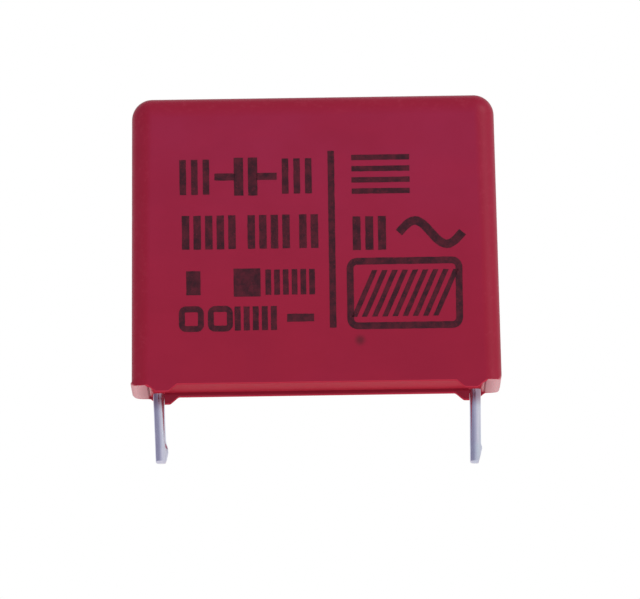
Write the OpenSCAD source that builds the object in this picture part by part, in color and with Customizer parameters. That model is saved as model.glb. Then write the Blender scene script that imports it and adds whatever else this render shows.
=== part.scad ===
// Box film capacitor: a flattened film winding, potted in a moulded case, with two wire leads.
// The origin lies on the seating plane under the feet, midway between the leads.
// X runs along the case, Y across it, and the leads point down.

/* [Case] */
// Width over the rim
case_width = 10.8; // [9:0.1:13]
// Height of the roof above the seating plane
case_height = 20.9; // [17:0.1:26]
// Thickness of the two long walls
side_wall = 0.8; // [0.6:0.05:1.1]
// Thickness of the two end walls
end_wall = 1.2; // [0.9:0.05:1.6]
// Thickness of the roof
roof_wall = 1; // [0.7:0.1:1.6]
// Draft of the outside, in degrees
outer_draft = 0.8; // [0.4:0.1:1.2]
// Draft of the cavity, in degrees
cavity_draft = 0.4; // [0.2:0.1:0.8]
// Radius of the four upright edges at the rim
upright_radius = 1.2; // [0.8:0.1:1.6]
// Radius of the roof's edges and corners
roof_radius = 1.45; // [1:0.05:1.8]
// Radius of the cavity's edges
cavity_radius = 0.5; // [0.3:0.1:0.8]
// Rounding under each end wall, along its outer edge
end_rounding = 0.6; // [0.3:0.1:0.8]

/* [Feet] */
// Height of the feet, from the seating plane to the rim
foot_height = 0.5; // [0.3:0.1:1]
// Length of a foot along its wall, at the rim
foot_length = 2.1; // [1.5:0.1:2.6]
// How far each end of a foot slopes in towards its tip
foot_slope = 0.6; // [0.2:0.05:0.8]
// How far the middle of a foot lies inboard of the lead
foot_offset = 0.3; // [0:0.05:0.8]

/* [Resin] */
// Depth of the resin's surface inside the rim
resin_recess = 0.4; // [0.1:0.05:0.8]
// Resin between its surface and the winding
resin_cover = 1; // [0.6:0.1:2]
// How far the resin climbs along each lead from its surface
lead_fillet = 0.6; // [0.4:0.05:0.7]
// Thickness of the resin at the end of that climb
fillet_edge = 0.04; // [0.02:0.01:0.06]

/* [Winding] */
// Resin between the winding and each long wall, at the rim
side_gap = 0.7; // [0.4:0.05:1]
// Resin between the winding and the roof
roof_gap = 0.6; // [0.3:0.1:1.2]
// Thickness of the sprayed metal on each end of the winding
contact_thickness = 0.5; // [0.3:0.05:0.8]

/* [Leads] */
// Spacing of the two leads, centre to centre
lead_pitch = 22.5; // [20:0.5:27.5]
// Diameter of the lead wire
lead_diameter = 0.8; // [0.6:0.05:1]
// Resin between a lead and the end wall, at the rim
lead_gap = 0.25; // [0.2:0.05:0.6]
// Length of the left lead below the seating plane
left_lead_drop = 4.7; // [3:0.1:8]
// Length of the right lead below the seating plane
right_lead_drop = 5; // [3:0.1:8]
// Thickness of the flattened tail that is welded to the winding
tail_thickness = 0.44; // [0.3:0.02:0.5]
// Length of tail along the end contact
weld_length = 10; // [6:0.5:12]
// Height of the slanting cut at the lead's tip
tip_cut_height = 0.95; // [0.6:0.05:1.4]
// How far that cut reaches in from the lead's side
tip_cut_depth = 0.25; // [0.1:0.05:0.35]

/* [Hidden] */
$fn = 64;
BLEND_FN = 32;
CASE_COLOUR = [0.57, 0.14, 0.23];
RESIN_COLOUR = [0.62, 0.19, 0.25];
FILM_COLOUR = [0.78, 0.78, 0.8];
SPRAY_COLOUR = [0.6, 0.6, 0.62];
TIN_COLOUR = [0.72, 0.7, 0.75];
LEFT = -1;
RIGHT = 1;
// Height of the straight band where a drafted wall starts
start_band = 0.01;
// How far a cutting shape runs past what it cuts
overcut = 0.5;
// How far the round part of a lead reaches into the resin's collar
cover_of_round_end = 0.05;
lead_radius = lead_diameter / 2;
rim_z = foot_height;
resin_z = rim_z + resin_recess;
cavity_top = case_height - roof_wall;
cavity_length = lead_pitch + lead_diameter + 2 * lead_gap;
cavity_width = case_width - 2 * side_wall;
case_length = cavity_length + 2 * end_wall;
contact_outer_x = lead_pitch / 2 - tail_thickness / 2;
winding_length = 2 * (contact_outer_x - contact_thickness);
winding_thickness = cavity_width - 2 * side_gap;
winding_bottom = resin_z + resin_cover;
winding_height = cavity_top - roof_gap - winding_bottom;
// The wire is round up to just inside the resin, and flat from the winding on
round_end_z = resin_z - lead_fillet + cover_of_round_end;
// Pressing the wire flat leaves its cross-section's area as it was
tail_width = tail_thickness + PI * (lead_radius ^ 2 - (tail_thickness / 2) ^ 2) / tail_thickness;

// A ball whose widest rings lie exactly on its axes, for use inside a hull
module ball(radius) {
    rotate_extrude($fn = BLEND_FN)
        intersection() {
            circle(radius, $fn = BLEND_FN);
            translate([0, -radius])
                square([radius, 2 * radius]);
        }
}

// Puts its child at the four corners of a rectangle
module corners(length, width) {
    for (x = [-length / 2, length / 2], y = [-width / 2, width / 2])
        translate([x, y, 0])
            children();
}

// A block that narrows upwards from the rim, with rounded upright edges and a rounded top.
// It runs straight for a distance of below under the rim.
module drafted_block(length, width, height, draft, upright, top, below = 0) {
    narrowing = 2 * (height - top) * tan(draft);
    translate([0, 0, rim_z])
        hull() {
            translate([0, 0, -below])
                corners(length - 2 * upright, width - 2 * upright)
                    cylinder(r = upright, h = below + start_band, $fn = BLEND_FN);
            translate([0, 0, height - top])
                corners(length - narrowing - 2 * top, width - narrowing - 2 * top)
                    ball(top);
        }
}

module rounded_rectangle(length, width, radius) {
    square([length - 2 * radius, width], center = true);
    square([length, width - 2 * radius], center = true);
    corners(length - 2 * radius, width - 2 * radius)
        circle(radius);
}

module cavity() {
    drafted_block(
        cavity_length, cavity_width, cavity_top - rim_z,
        cavity_draft, cavity_radius, cavity_radius, lead_fillet
    );
}

// What is cut away to round the lower outer edge of the right-hand end wall
module end_rounding_cut() {
    translate([case_length / 2 - end_rounding, 0, rim_z + end_rounding])
        rotate([90, 0, 0])
            linear_extrude(case_width + 2 * overcut, center = true)
                difference() {
                    translate([0, -end_rounding - overcut])
                        square(end_rounding + overcut);
                    circle(end_rounding);
                }
}

// The feet stand on the long walls, flush with them, each one a slope-ended block beside a lead
module feet() {
    foot_centre = lead_pitch / 2 - foot_offset;
    half = foot_length / 2;
    difference() {
        intersection() {
            linear_extrude(foot_height)
                rounded_rectangle(case_length, case_width, upright_radius);
            for (side = [LEFT, RIGHT])
                translate([side * foot_centre, 0, 0])
                    rotate([90, 0, 0])
                        linear_extrude(case_width, center = true)
                            polygon([
                                [foot_slope - half, 0], [half - foot_slope, 0],
                                [half, foot_height], [-half, foot_height]
                            ]);
        }
        cube([case_length, cavity_width, 3 * foot_height], center = true);
    }
}

module case() {
    color(CASE_COLOUR) {
        difference() {
            drafted_block(
                case_length, case_width, case_height - rim_z,
                outer_draft, upright_radius, roof_radius
            );
            cavity();
            end_rounding_cut();
            mirror([1, 0, 0])
                end_rounding_cut();
        }
        feet();
    }
}

// The pressed roll's outline: flat sides, and ends that are half circles
module flat_oval(thickness, height) {
    square([thickness, height - thickness], center = true);
    for (side = [-1, 1])
        translate([0, side * (height - thickness) / 2])
            circle(d = thickness);
}

// A length of the flat oval along X, starting at the given place
module oval_bar(start, length) {
    translate([start, 0, winding_bottom + winding_height / 2])
        rotate([90, 0, 90])
            linear_extrude(length)
                flat_oval(winding_thickness, winding_height);
}

module film_winding() {
    color(FILM_COLOUR)
        oval_bar(-winding_length / 2, winding_length);
}

// The layer of sprayed metal on one end of the winding
module end_contact(side) {
    color(SPRAY_COLOUR)
        oval_bar(side < 0 ? -contact_outer_x : winding_length / 2, contact_thickness);
}

module left_end_contact() {
    end_contact(LEFT);
}

module right_end_contact() {
    end_contact(RIGHT);
}

// What the wire cutter takes off one side of a lead whose tip is at z = 0
module tip_cut() {
    run = tip_cut_depth / tip_cut_height;
    inner = lead_radius - tip_cut_depth - run * overcut;
    outer = lead_radius + run * overcut;
    rotate([90, 0, 0])
        linear_extrude(2 * lead_diameter, center = true)
            polygon([
                [inner, -overcut], [outer, tip_cut_height + overcut],
                [lead_diameter + outer, tip_cut_height + overcut], [lead_diameter + outer, -overcut]
            ]);
}

// The end of a wire that is pressed flat, starting at the winding, with the taper that leads to it
module lead_tail() {
    translate([0, 0, winding_bottom])
        linear_extrude(weld_length)
            flat_oval(tail_thickness, tail_width);
    hull() {
        translate([0, 0, round_end_z])
            cylinder(r = lead_radius, h = start_band, $fn = BLEND_FN);
        translate([0, 0, winding_bottom])
            linear_extrude(start_band)
                flat_oval(tail_thickness, tail_width, $fn = BLEND_FN);
    }
}

module lead(side, drop) {
    color(TIN_COLOUR)
        translate([side * lead_pitch / 2, 0, 0]) {
            translate([0, 0, -drop])
                difference() {
                    cylinder(r = lead_radius, h = drop + round_end_z);
                    tip_cut();
                }
            lead_tail();
        }
}

module left_lead() {
    lead(LEFT, left_lead_drop);
}

module right_lead() {
    lead(RIGHT, right_lead_drop);
}

// The collar that the resin draws up around a lead before it sets
module resin_fillet(side) {
    reach = lead_radius + fillet_edge + lead_fillet;
    translate([side * lead_pitch / 2, 0, resin_z])
        rotate_extrude()
            difference() {
                translate([0, -lead_fillet])
                    square([reach, lead_fillet + overcut]);
                translate([reach, -lead_fillet])
                    circle(lead_fillet);
            }
}

module resin_seal() {
    color(RESIN_COLOUR)
        difference() {
            intersection() {
                cavity();
                union() {
                    translate([-case_length / 2, -case_width / 2, resin_z])
                        cube([case_length, case_width, case_height]);
                    resin_fillet(LEFT);
                    resin_fillet(RIGHT);
                }
            }
            oval_bar(-contact_outer_x, 2 * contact_outer_x);
            for (side = [LEFT, RIGHT])
                translate([side * lead_pitch / 2, 0, 0]) {
                    cylinder(r = lead_radius, h = round_end_z);
                    lead_tail();
                }
        }
}

case();
resin_seal();
film_winding();
left_end_contact();
right_end_contact();
left_lead();
right_lead();
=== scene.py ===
# %% [markdown]
# # A box film capacitor
#
# The object is a small moulded box with a flattened winding of film potted inside it
# and two tinned wires below. The solid model is loaded first, as a fixed frame. Its
# solids are in metres and already in place, so every piece made here takes its place
# from them. Two other ways would be to draw the object freely, or to dress each solid
# as it is. A frame with finer pieces over it keeps the real sizes and still lets the
# edges be as soft as moulded plastic is.

import math

import bmesh
import bpy
import numpy as np
from mathutils import Euler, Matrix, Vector, noise
from mathutils.geometry import delaunay_2d_cdt


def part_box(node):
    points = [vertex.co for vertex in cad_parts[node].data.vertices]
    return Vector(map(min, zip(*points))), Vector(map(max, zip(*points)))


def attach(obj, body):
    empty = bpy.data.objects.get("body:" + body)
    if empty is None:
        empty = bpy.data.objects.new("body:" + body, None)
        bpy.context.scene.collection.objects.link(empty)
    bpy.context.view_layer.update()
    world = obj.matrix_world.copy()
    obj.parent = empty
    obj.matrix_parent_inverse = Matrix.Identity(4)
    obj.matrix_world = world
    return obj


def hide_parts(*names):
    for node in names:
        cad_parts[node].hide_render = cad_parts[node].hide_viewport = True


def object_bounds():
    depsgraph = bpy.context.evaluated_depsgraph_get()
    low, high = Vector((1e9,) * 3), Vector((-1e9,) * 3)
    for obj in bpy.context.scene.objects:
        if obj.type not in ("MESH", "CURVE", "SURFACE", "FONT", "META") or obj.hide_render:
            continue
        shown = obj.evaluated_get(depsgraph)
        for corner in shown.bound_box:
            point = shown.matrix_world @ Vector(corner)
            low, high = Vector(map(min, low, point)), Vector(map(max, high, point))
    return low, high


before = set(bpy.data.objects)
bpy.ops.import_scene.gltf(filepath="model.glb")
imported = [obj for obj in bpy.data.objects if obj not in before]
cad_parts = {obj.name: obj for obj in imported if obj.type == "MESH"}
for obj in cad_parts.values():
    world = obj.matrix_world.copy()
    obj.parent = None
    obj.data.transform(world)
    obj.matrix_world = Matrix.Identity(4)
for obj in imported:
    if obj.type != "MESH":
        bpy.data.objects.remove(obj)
solid_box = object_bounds()
MM = 0.001
print("solids:", ", ".join(sorted(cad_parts)))
print("box in mm:", [[round(c / MM, 2) for c in corner] for corner in solid_box])

# %% [markdown]
# ## Sizes that the solids give
#
# A learner may be tempted to type every size again. Where a solid's box tells it, it
# is read from there, so that a change of the solid moves the piece as well. Only what
# a box can't tell, such as a wall's thickness or a radius, is written as a number.

# %% Sizes in millimetres
def reach(node):
    """The lowest and highest corner of a solid, in millimetres."""
    low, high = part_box(node)
    return np.array(low) / MM, np.array(high) / MM


case_high = reach("case")[1]
winding_low, winding_high = reach("film_winding")
LEFT, RIGHT = -1, 1
LEADS = {LEFT: "left_lead", RIGHT: "right_lead"}
lead_x = {side: float(reach(name)[0][0] + reach(name)[1][0]) / 2 for side, name in LEADS.items()}
lead_tip = {side: float(reach(name)[0][2]) for side, name in LEADS.items()}
contact_x = float(reach("right_end_contact")[1][0])
print("leads at x", lead_x, "tips at z", lead_tip)

HALF_LENGTH = 13.1
HALF_WIDTH = float(case_high[1])
ROOF_Z = float(case_high[2])
RIM_Z = 0.5
SIDE_WALL = 0.8
END_WALL = 1.2
ROOF_WALL = 1.0
UPRIGHT_RADIUS = 1.2
ROOF_RADIUS = 1.45
CAVITY_RADIUS = 0.5
OUTER_DRAFT = math.tan(math.radians(0.8))
CAVITY_DRAFT = math.tan(math.radians(0.4))
RESIN_Z = 0.9

# %% [markdown]
# ## One class for sums in node trees
#
# A finish is mostly arithmetic: a mask times a colour, a grain added to a wave. Wiring
# Math nodes by hand hides that. This small class wraps a socket, so that a sum written
# in Python adds its own Math nodes, and one method adds any other node.

# %% Terms and sheets
def operator(operation, swapped=False):
    """A method that adds one Math node, with its two sides swapped if need be."""

    def method(self, other):
        sides = (other, self) if swapped else (self, other)
        return self.sheet.node("ShaderNodeMath", {"operation": operation}, dict(enumerate(sides)))

    return method


class Term:
    """One socket of a node tree, which can stand in a sum or a product."""

    def __init__(self, sheet, socket):
        self.sheet, self.socket = sheet, socket

    __add__, __radd__ = operator("ADD"), operator("ADD", True)
    __sub__, __rsub__ = operator("SUBTRACT"), operator("SUBTRACT", True)
    __mul__, __rmul__ = operator("MULTIPLY"), operator("MULTIPLY", True)


class Sheet:
    """A node tree that is being written."""

    def __init__(self, tree):
        self.tree = tree

    def node(self, kind, settings=None, inputs=None, output=0):
        """Adds a node, sets its settings first and then its sockets, and gives one output."""
        made = self.tree.nodes.new(kind)
        for name, value in (settings or {}).items():
            setattr(made, name, value)
        for key, value in (inputs or {}).items():
            if isinstance(value, Term):
                self.tree.links.new(value.socket, made.inputs[key])
            else:
                made.inputs[key].default_value = value
        return Term(self, made.outputs[output])

    def blend(self, factor, first, second):
        """Mixes two colours."""
        colours = {0: factor, 6: first, 7: second}
        return self.node("ShaderNodeMix", {"data_type": "RGBA"}, colours, 2)

    def step(self, value, low, high):
        """Rises smoothly from 0 at low to 1 at high."""
        return self.node(
            "ShaderNodeMapRange",
            {"interpolation_type": "SMOOTHSTEP"},
            {"Value": value, "From Min": low, "From Max": high},
        )

    def mark(self, name):
        """A number that the mesh keeps at its points."""
        return self.node("ShaderNodeAttribute", {"attribute_name": name}, None, "Fac")

    def vector(self, x=0.0, y=0.0, z=0.0):
        """Joins three coordinates."""
        return self.node("ShaderNodeCombineXYZ", None, {0: x, 1: y, 2: z})

    def part(self, vector, axis):
        """One coordinate of a vector."""
        return self.node("ShaderNodeSeparateXYZ", None, {0: vector}, axis)


def ink(red, green, blue):
    """A screen colour, 0 to 255, as the linear colour that a shader takes."""
    shares = [c / 255 for c in (red, green, blue)]
    linear = [((c + 0.055) / 1.055) ** 2.4 if c > 0.0393 else c / 12.92 for c in shares]
    return (*linear, 1.0)


# %% A finish
class Finish(Sheet):
    """A material on the Principled shader. Sockets that are the same all over are set here."""

    def __init__(self, name, **plain):
        self.material = bpy.data.materials.new(name)
        self.material.use_nodes = True
        super().__init__(self.material.node_tree)
        self.shader = self.tree.nodes["Principled BSDF"]
        for words, value in plain.items():
            self.shader.inputs[words.replace("_", " ")].default_value = value
        self.place = self.node("ShaderNodeTexCoord", output="Object")

    def noise(self, size, detail=2.0, roughness=0.5, squeeze=(1, 1, 1)):
        """Noise whose lumps are about size millimetres across, squeezed along an axis."""
        at = self.node(
            "ShaderNodeMapping", {"vector_type": "POINT"}, {"Vector": self.place, "Scale": squeeze}
        )
        return self.node(
            "ShaderNodeTexNoise",
            None,
            {"Vector": at, "Scale": 1 / (size * MM), "Detail": detail, "Roughness": roughness},
            "Fac",
        )

    def give(self, **terms):
        """Links what varies over the surface to the shader."""
        for words, term in terms.items():
            self.tree.links.new(term.socket, self.shader.inputs[words.replace("_", " ")])

    def bump(self, height, depth):
        """A normal from a height of 0 to 1 that stands for depth millimetres."""
        sockets = {"Distance": depth * MM, "Height": height}
        return self.node("ShaderNodeBump", None, sockets, "Normal")


print("finishes are written as sums of terms")

# %% [markdown]
# ## The moulded plastic
#
# The box is dyed polyester or polypropylene, moulded in a polished tool that has lost
# its shine. Its red is not even: it clouds a little where the melt flowed and is scuffed
# along its edges. Some of its colour is painted light: a painted purple sheen that grows
# towards the roof, a painted shade, deeper and less purple, along the rounded edges, and
# a painted light pink highlight on the lip under the end walls. A picture could carry all
# that, but it would not suit another size. Noise on the object's own coordinates does,
# with two masks stored in the mesh when the case is made: one for edges, which places the
# scuffs and the painted shade, and one for the lip under the end walls, which places its
# gloss and the painted highlight. Below the print is a small smudge of ink. The narrow
# rim of the long walls was never polished, so it takes the same colours without their
# shine, with a painted light pink sheen over them.

# %% Case finish
SMUDGE = (3.12 * MM, -HALF_WIDTH * MM, 3.41 * MM)
SMUDGE_CORE = 0.05 * MM
SMUDGE_EDGE = 0.55 * MM


def red_plastic(name, shine, pale):
    """The dyed plastic, polished where it shines, with a painted light pink sheen of the given
    share on the rim and a painted highlight on the end walls' lip.
    """
    made = Finish(name, IOR=1.5, Specular_IOR_Level=shine)
    upward = made.part(made.place, "Z")
    height = made.step(upward, 3 * MM, 19 * MM)
    clouds = made.noise(5.5, 3, 0.55)
    flow = made.noise(1.6, 2, 0.5, (0.35, 1, 1))
    grain = made.noise(0.16, 2, 0.6)
    wear_and_painted_shade = made.mark("edge")
    lip = made.mark("lip")
    scuffs = wear_and_painted_shade * made.step(made.noise(0.5, 4, 0.7), 0.5, 0.72)
    # painted reflection: the red turns more purple from 3 mm up to 19 mm, a sheen towards the roof
    red = made.blend(height, ink(152, 21, 53), ink(151, 28, 65))
    red = made.blend(made.step(clouds, 0.35, 0.7) * 0.5, red, ink(144, 17, 52))
    # painted shade: the edge mask makes the rounded edges deeper and less purple
    red = made.blend(wear_and_painted_shade * 0.75, red, ink(149, 12, 44))
    red = made.blend(made.step(flow, 0.4, 0.75) * 0.22, red, ink(160, 25, 60))
    red = made.blend(scuffs * 0.22, red, ink(176, 58, 82))
    from_smudge = made.node(
        "ShaderNodeVectorMath", {"operation": "DISTANCE"}, {0: made.place, 1: SMUDGE}, "Value"
    )
    smudge = 1 - made.step(from_smudge, SMUDGE_CORE, SMUDGE_EDGE)
    red = made.blend(smudge * 0.85, red, ink(96, 24, 40))
    # painted highlight: light pink on the end walls' lip, and on the rim a painted sheen of the
    # given share
    red = made.blend(pale + (1 - pale) * 0.85 * lip, red, ink(216, 66, 88))
    made.give(
        Base_Color=red,
        Roughness=(0.36 + 0.1 * clouds + 0.08 * grain + 0.1 * scuffs) * (1 - 0.45 * lip),
        Normal=made.bump(0.75 * flow + 0.25 * grain, 0.006),
    )
    print(name, "has", len(made.tree.nodes), "nodes")
    return made


plastic = red_plastic("moulded_red_plastic", 0.2, 0.0)
# the rim's copy has no shine and carries a painted light pink sheen at 0.7
rim_plastic = red_plastic("unpolished_red_rim", 0.0, 0.7)

# %% [markdown]
# ## The plan of the case
#
# Seen from above, the case is a rectangle with round corners, and it narrows a little
# towards the roof so that it leaves its mould. A cube with a bevel would do for a toy,
# but its walls would be upright and its feet would be separate boxes. Here the wall is
# a set of columns that stand round the plan, and each ring of the mesh is that plan at
# another height. The columns crowd together at the feet, so that the lower edge of the
# wall can follow them.

# %% Columns of one quarter
CENTRE_X = HALF_LENGTH - UPRIGHT_RADIUS
CENTRE_Y = HALF_WIDTH - UPRIGHT_RADIUS
CAVITY_X = HALF_LENGTH - END_WALL - CAVITY_RADIUS
CAVITY_Y = HALF_WIDTH - SIDE_WALL - CAVITY_RADIUS
FOOT_CENTRE = lead_x[RIGHT] - 0.3
FOOT_HALF = 1.05
FOOT_SLOPE = 0.6
FOOT_FACE_X = FOOT_CENTRE + FOOT_HALF
FOOT_FACE_Y = HALF_WIDTH - SIDE_WALL
FACE_RADIUS = 0.1
CORNER_STEPS = 14
PLAIN_REACH = 9.4
FINE_GAP = 0.075


def quarter():
    """Each column's shares outside and inside, and its place on the foot's inner face."""
    outside, inside, foot_face = [], [], []
    fine = np.arange(PLAIN_REACH + 2 * FINE_GAP, CAVITY_X - 0.03, FINE_GAP)
    along = [*np.linspace(0, PLAIN_REACH, 20), *fine, CAVITY_X]
    round_x, round_y = FOOT_FACE_X - FACE_RADIUS, FOOT_FACE_Y - FACE_RADIUS
    for x in along:
        outside.append((x / CENTRE_X, 1, 0, 1))
        inside.append((x / CAVITY_X, 1, 0, 1))
        foot_face.append((x, FOOT_FACE_Y))
    straight = np.linspace(CAVITY_X, CENTRE_X, 7)[1:]
    turns = [math.pi / 2 * (1 - k / CORNER_STEPS) for k in range(1, CORNER_STEPS + 1)]
    for x in straight:
        outside.append((x / CENTRE_X, 1, 0, 1))
        foot_face.append((min(x, round_x), FOOT_FACE_Y))
    for turn in turns:
        way_x, way_y = math.cos(turn), math.sin(turn)
        outside.append((1, 1, way_x, way_y))
        foot_face.append((round_x + FACE_RADIUS * way_x, round_y + FACE_RADIUS * way_y))
    outside.append((1, CAVITY_Y / CENTRE_Y, 1, 0))
    foot_face.append((FOOT_FACE_X, CAVITY_Y))
    count = len(straight) + len(turns) + 1
    for k in range(1, count + 1):
        turn = math.pi / 2 * (1 - k / count)
        inside.append((1, 1, math.cos(turn), math.sin(turn)))
    for y in [*np.linspace(CAVITY_Y, 1.3, 11)[1:], *np.linspace(1.2, 0, 13)]:
        outside.append((1, y / CENTRE_Y, 1, 0))
        inside.append((1, y / CAVITY_Y, 1, 0))
        foot_face.append((FOOT_FACE_X, y))
    return np.array(outside), np.array(inside), np.array(foot_face)


# %% Columns of the whole plan
quarter_outside, quarter_inside, quarter_face = quarter()
columns_in_quarter = len(quarter_outside)
order, side_x, side_y = [], [], []
for sx, sy, backwards in ((1, 1, False), (1, -1, True), (-1, -1, False), (-1, 1, True)):
    picks = list(range(columns_in_quarter))[:: -1 if backwards else 1]
    for pick in picks[:-1]:
        order.append(pick)
        side_x.append(sx)
        side_y.append(sy)
order, side_x, side_y = np.array(order), np.array(side_x), np.array(side_y)
outside, inside = quarter_outside[order], quarter_inside[order]
face_x, face_y = quarter_face[order].T * (side_x, side_y)


def plan(shares, centre_x, centre_y, radius):
    """The columns' places round a rounded rectangle, and the way that each one faces."""
    x = side_x * (shares[:, 0] * centre_x + radius * shares[:, 2])
    y = side_y * (shares[:, 1] * centre_y + radius * shares[:, 3])
    return x, y, side_x * shares[:, 2], side_y * shares[:, 3]


print("columns round the case:", len(order))

# %% [markdown]
# ## The case, ring by ring
#
# The rings run from the roof down the outside, round the rim and up into the cavity,
# so the case is one closed skin with a real wall. Below the end walls the outer edge
# is rounded, with a thin lip of flash that stands proud of the wall there, and along
# the long walls it is only broken. The large faces are sunk by a few hundredths of a
# millimetre, as thin walls are once they have cooled, and it is this that bends their
# reflections.

# %% Wall helpers
WALL_TOP = ROOF_Z - ROOF_RADIUS
TOP_X = HALF_LENGTH - (WALL_TOP - RIM_Z) * OUTER_DRAFT - ROOF_RADIUS
TOP_Y = HALF_WIDTH - (WALL_TOP - RIM_Z) * OUTER_DRAFT - ROOF_RADIUS
CAVITY_ROOF = ROOF_Z - ROOF_WALL
CAVITY_TOP = CAVITY_ROOF - CAVITY_RADIUS
ROOF_FALL = (CAVITY_TOP - RIM_Z) * CAVITY_DRAFT
CEILING_X, CEILING_Y = CAVITY_X - ROOF_FALL, CAVITY_Y - ROOF_FALL
# each pair holds the left end's size and the right end's
END_ROUNDING = 0.4
END_LIP = (0.13, 0.1)
LIP_HEIGHT = (0.3, 0.2)
LIP_BLEND = 0.15
END_DROP = (0.08, 0.0)
END_BLEND = 0.3
BROKEN_EDGE = 0.04
INNER_EDGE = 0.05
PAST_CORNER = 0.45
PAST_FACE = 0.4
ARC_WEAR_AND_SHADE = 0.9
INNER_WEAR_AND_SHADE = 0.2
INNER_LIP_GLOSS_AND_HIGHLIGHT = 0.4
SINK = 0.035


def of_end(sizes, x):
    """The left end's size where x is below 0, and the right end's elsewhere."""
    return np.where(x < 0, *sizes)


def lower_edge(x):
    """Height of the rim at x, which drops to the seating plane along the feet."""
    total = 0
    shifts = np.linspace(-0.07, 0.07, 7)
    for shift in shifts:
        total = total + np.clip((FOOT_HALF - abs(abs(x) + shift - FOOT_CENTRE)) / FOOT_SLOPE, 0, 1)
    return RIM_Z - RIM_Z * total / len(shifts)


def outer_ring(z, inward=0):
    """The outer wall's ring at the height z, which may differ from column to column."""
    rise = np.clip((z - RIM_Z) / (WALL_TOP - RIM_Z), 0, 1)
    x, y, nx, ny = plan(
        outside,
        CENTRE_X + (TOP_X - CENTRE_X) * rise,
        CENTRE_Y + (TOP_Y - CENTRE_Y) * rise,
        UPRIGHT_RADIUS + (ROOF_RADIUS - UPRIGHT_RADIUS) * rise,
    )
    hollow = (1 - (2 * rise - 1) ** 2) ** 2
    long_wall = (1 - np.minimum(abs(x) / CENTRE_X, 1) ** 2) ** 2 * abs(ny) * hollow
    end_wall = (1 - np.minimum(abs(y) / CENTRE_Y, 1) ** 2) ** 2 * abs(nx) * hollow * 0.5
    lip = of_end(END_LIP, x) * np.clip((abs(x) - CENTRE_X) / UPRIGHT_RADIUS, 0, 1) ** 2
    proud = np.clip((RIM_Z + of_end(LIP_HEIGHT, x) - z) / LIP_BLEND, 0, 1) ** 1.3
    inward = inward + SINK * (long_wall + end_wall) - lip * proud
    return x - nx * inward, y - ny * inward, z + 0 * x


def cavity_ring(z, slack=0.0):
    """The cavity's ring at a height, drawn in by the slack."""
    fall = np.clip((z - RIM_Z) * CAVITY_DRAFT, 0, None)
    x, y, nx, ny = plan(inside, CAVITY_X - fall, CAVITY_Y - fall, CAVITY_RADIUS)
    return x - nx * slack, y - ny * slack, z + 0 * x


def ceiling_rings(slack=0.0):
    """The rings that round the cavity off into its ceiling, drawn in by the slack."""
    for turn in np.linspace(0, math.pi / 2, 6)[1:]:
        radius = CAVITY_RADIUS * math.cos(turn)
        x, y, _, _ = plan(inside, CEILING_X - slack, CEILING_Y - slack, radius)
        yield x, y, CAVITY_TOP - slack + CAVITY_RADIUS * math.sin(turn) + 0 * x


# %% Rings of the case
plain_x, _, facing_x, facing_y = plan(outside, CENTRE_X, CENTRE_Y, UPRIGHT_RADIUS)
on_end = np.clip((abs(plain_x) - CENTRE_X) / END_BLEND, 0, 1)
foot_z = lower_edge(plain_x) - of_end(END_DROP, plain_x) * on_end
end_share = np.clip((abs(plain_x) - (HALF_LENGTH - END_ROUNDING)) / END_ROUNDING, 0, 1) ** 1.6
rounding = BROKEN_EDGE + (END_ROUNDING - BROKEN_EDGE) * end_share
wall_start = foot_z + rounding
# The edge mask on the upright corners places scuffs and painted shade there.
arc_wear_and_shade = np.clip(4 * abs(facing_x * facing_y), 0, 1)
rings, wear_and_shade_rows, lip_gloss_and_highlight_rows = [], [], []


def add_ring(ring, edge, lip=0):
    """Keeps a ring with its scuffing and painted shade, and how much of it is the end walls'
    smooth lip, with its painted highlight.
    """
    rings.append(np.stack(ring, axis=1))
    wear_and_shade_rows.append(np.broadcast_to(edge, order.shape))
    lip_gloss_and_highlight_rows.append(np.broadcast_to(lip, order.shape))


# The roof's rounding: its edge mask, which places scuffs and painted shade, peaks halfway round.
for turn in np.linspace(math.pi / 2, 0, 14):
    radius, lift = ROOF_RADIUS * math.cos(turn), ROOF_RADIUS * math.sin(turn)
    x, y, _, _ = plan(outside, TOP_X, TOP_Y, radius)
    edge = np.maximum(math.sin(2 * turn), arc_wear_and_shade * math.cos(turn))
    add_ring((x, y, WALL_TOP + lift + 0 * x), edge)
for share in (*np.linspace(1, 0.06, 22)[1:], 0.04, 0.025, 0.012, 0):
    add_ring(outer_ring(wall_start + (WALL_TOP - wall_start) * share), arc_wear_and_shade * ARC_WEAR_AND_SHADE)
# The broken edge takes scuffs and painted shade; under the end walls the lip takes gloss and the
# painted highlight.
for turn in np.linspace(0, math.pi / 2, 10)[1:]:
    z = foot_z + rounding * (1 - math.sin(turn))
    x, y, _ = outer_ring(z, rounding * (1 - math.cos(turn)))
    add_ring((x, y, z), math.sin(2 * turn) * (1 - on_end), on_end * math.sin(turn))

on_long_wall = abs(face_x) <= CAVITY_X + 1e-6
long_face = on_long_wall & (abs(face_y) > CAVITY_Y + 1e-6)
face_z = lower_edge(face_x)
foot_depth = (RIM_Z - face_z) / RIM_Z
past_corner = abs(face_x) > CAVITY_X + PAST_CORNER
face_z = face_z - of_end(END_DROP, face_x) * past_corner
off_end = abs(face_x) > CAVITY_X + PAST_FACE
face_normal_x = np.where(long_face, 0, np.sign(face_x)) * off_end
face_normal_y = np.where(abs(face_y) > CAVITY_Y + PAST_FACE, np.sign(face_y), 0)
inner_rise = np.where(long_face, INNER_EDGE, INNER_EDGE * foot_depth)
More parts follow.
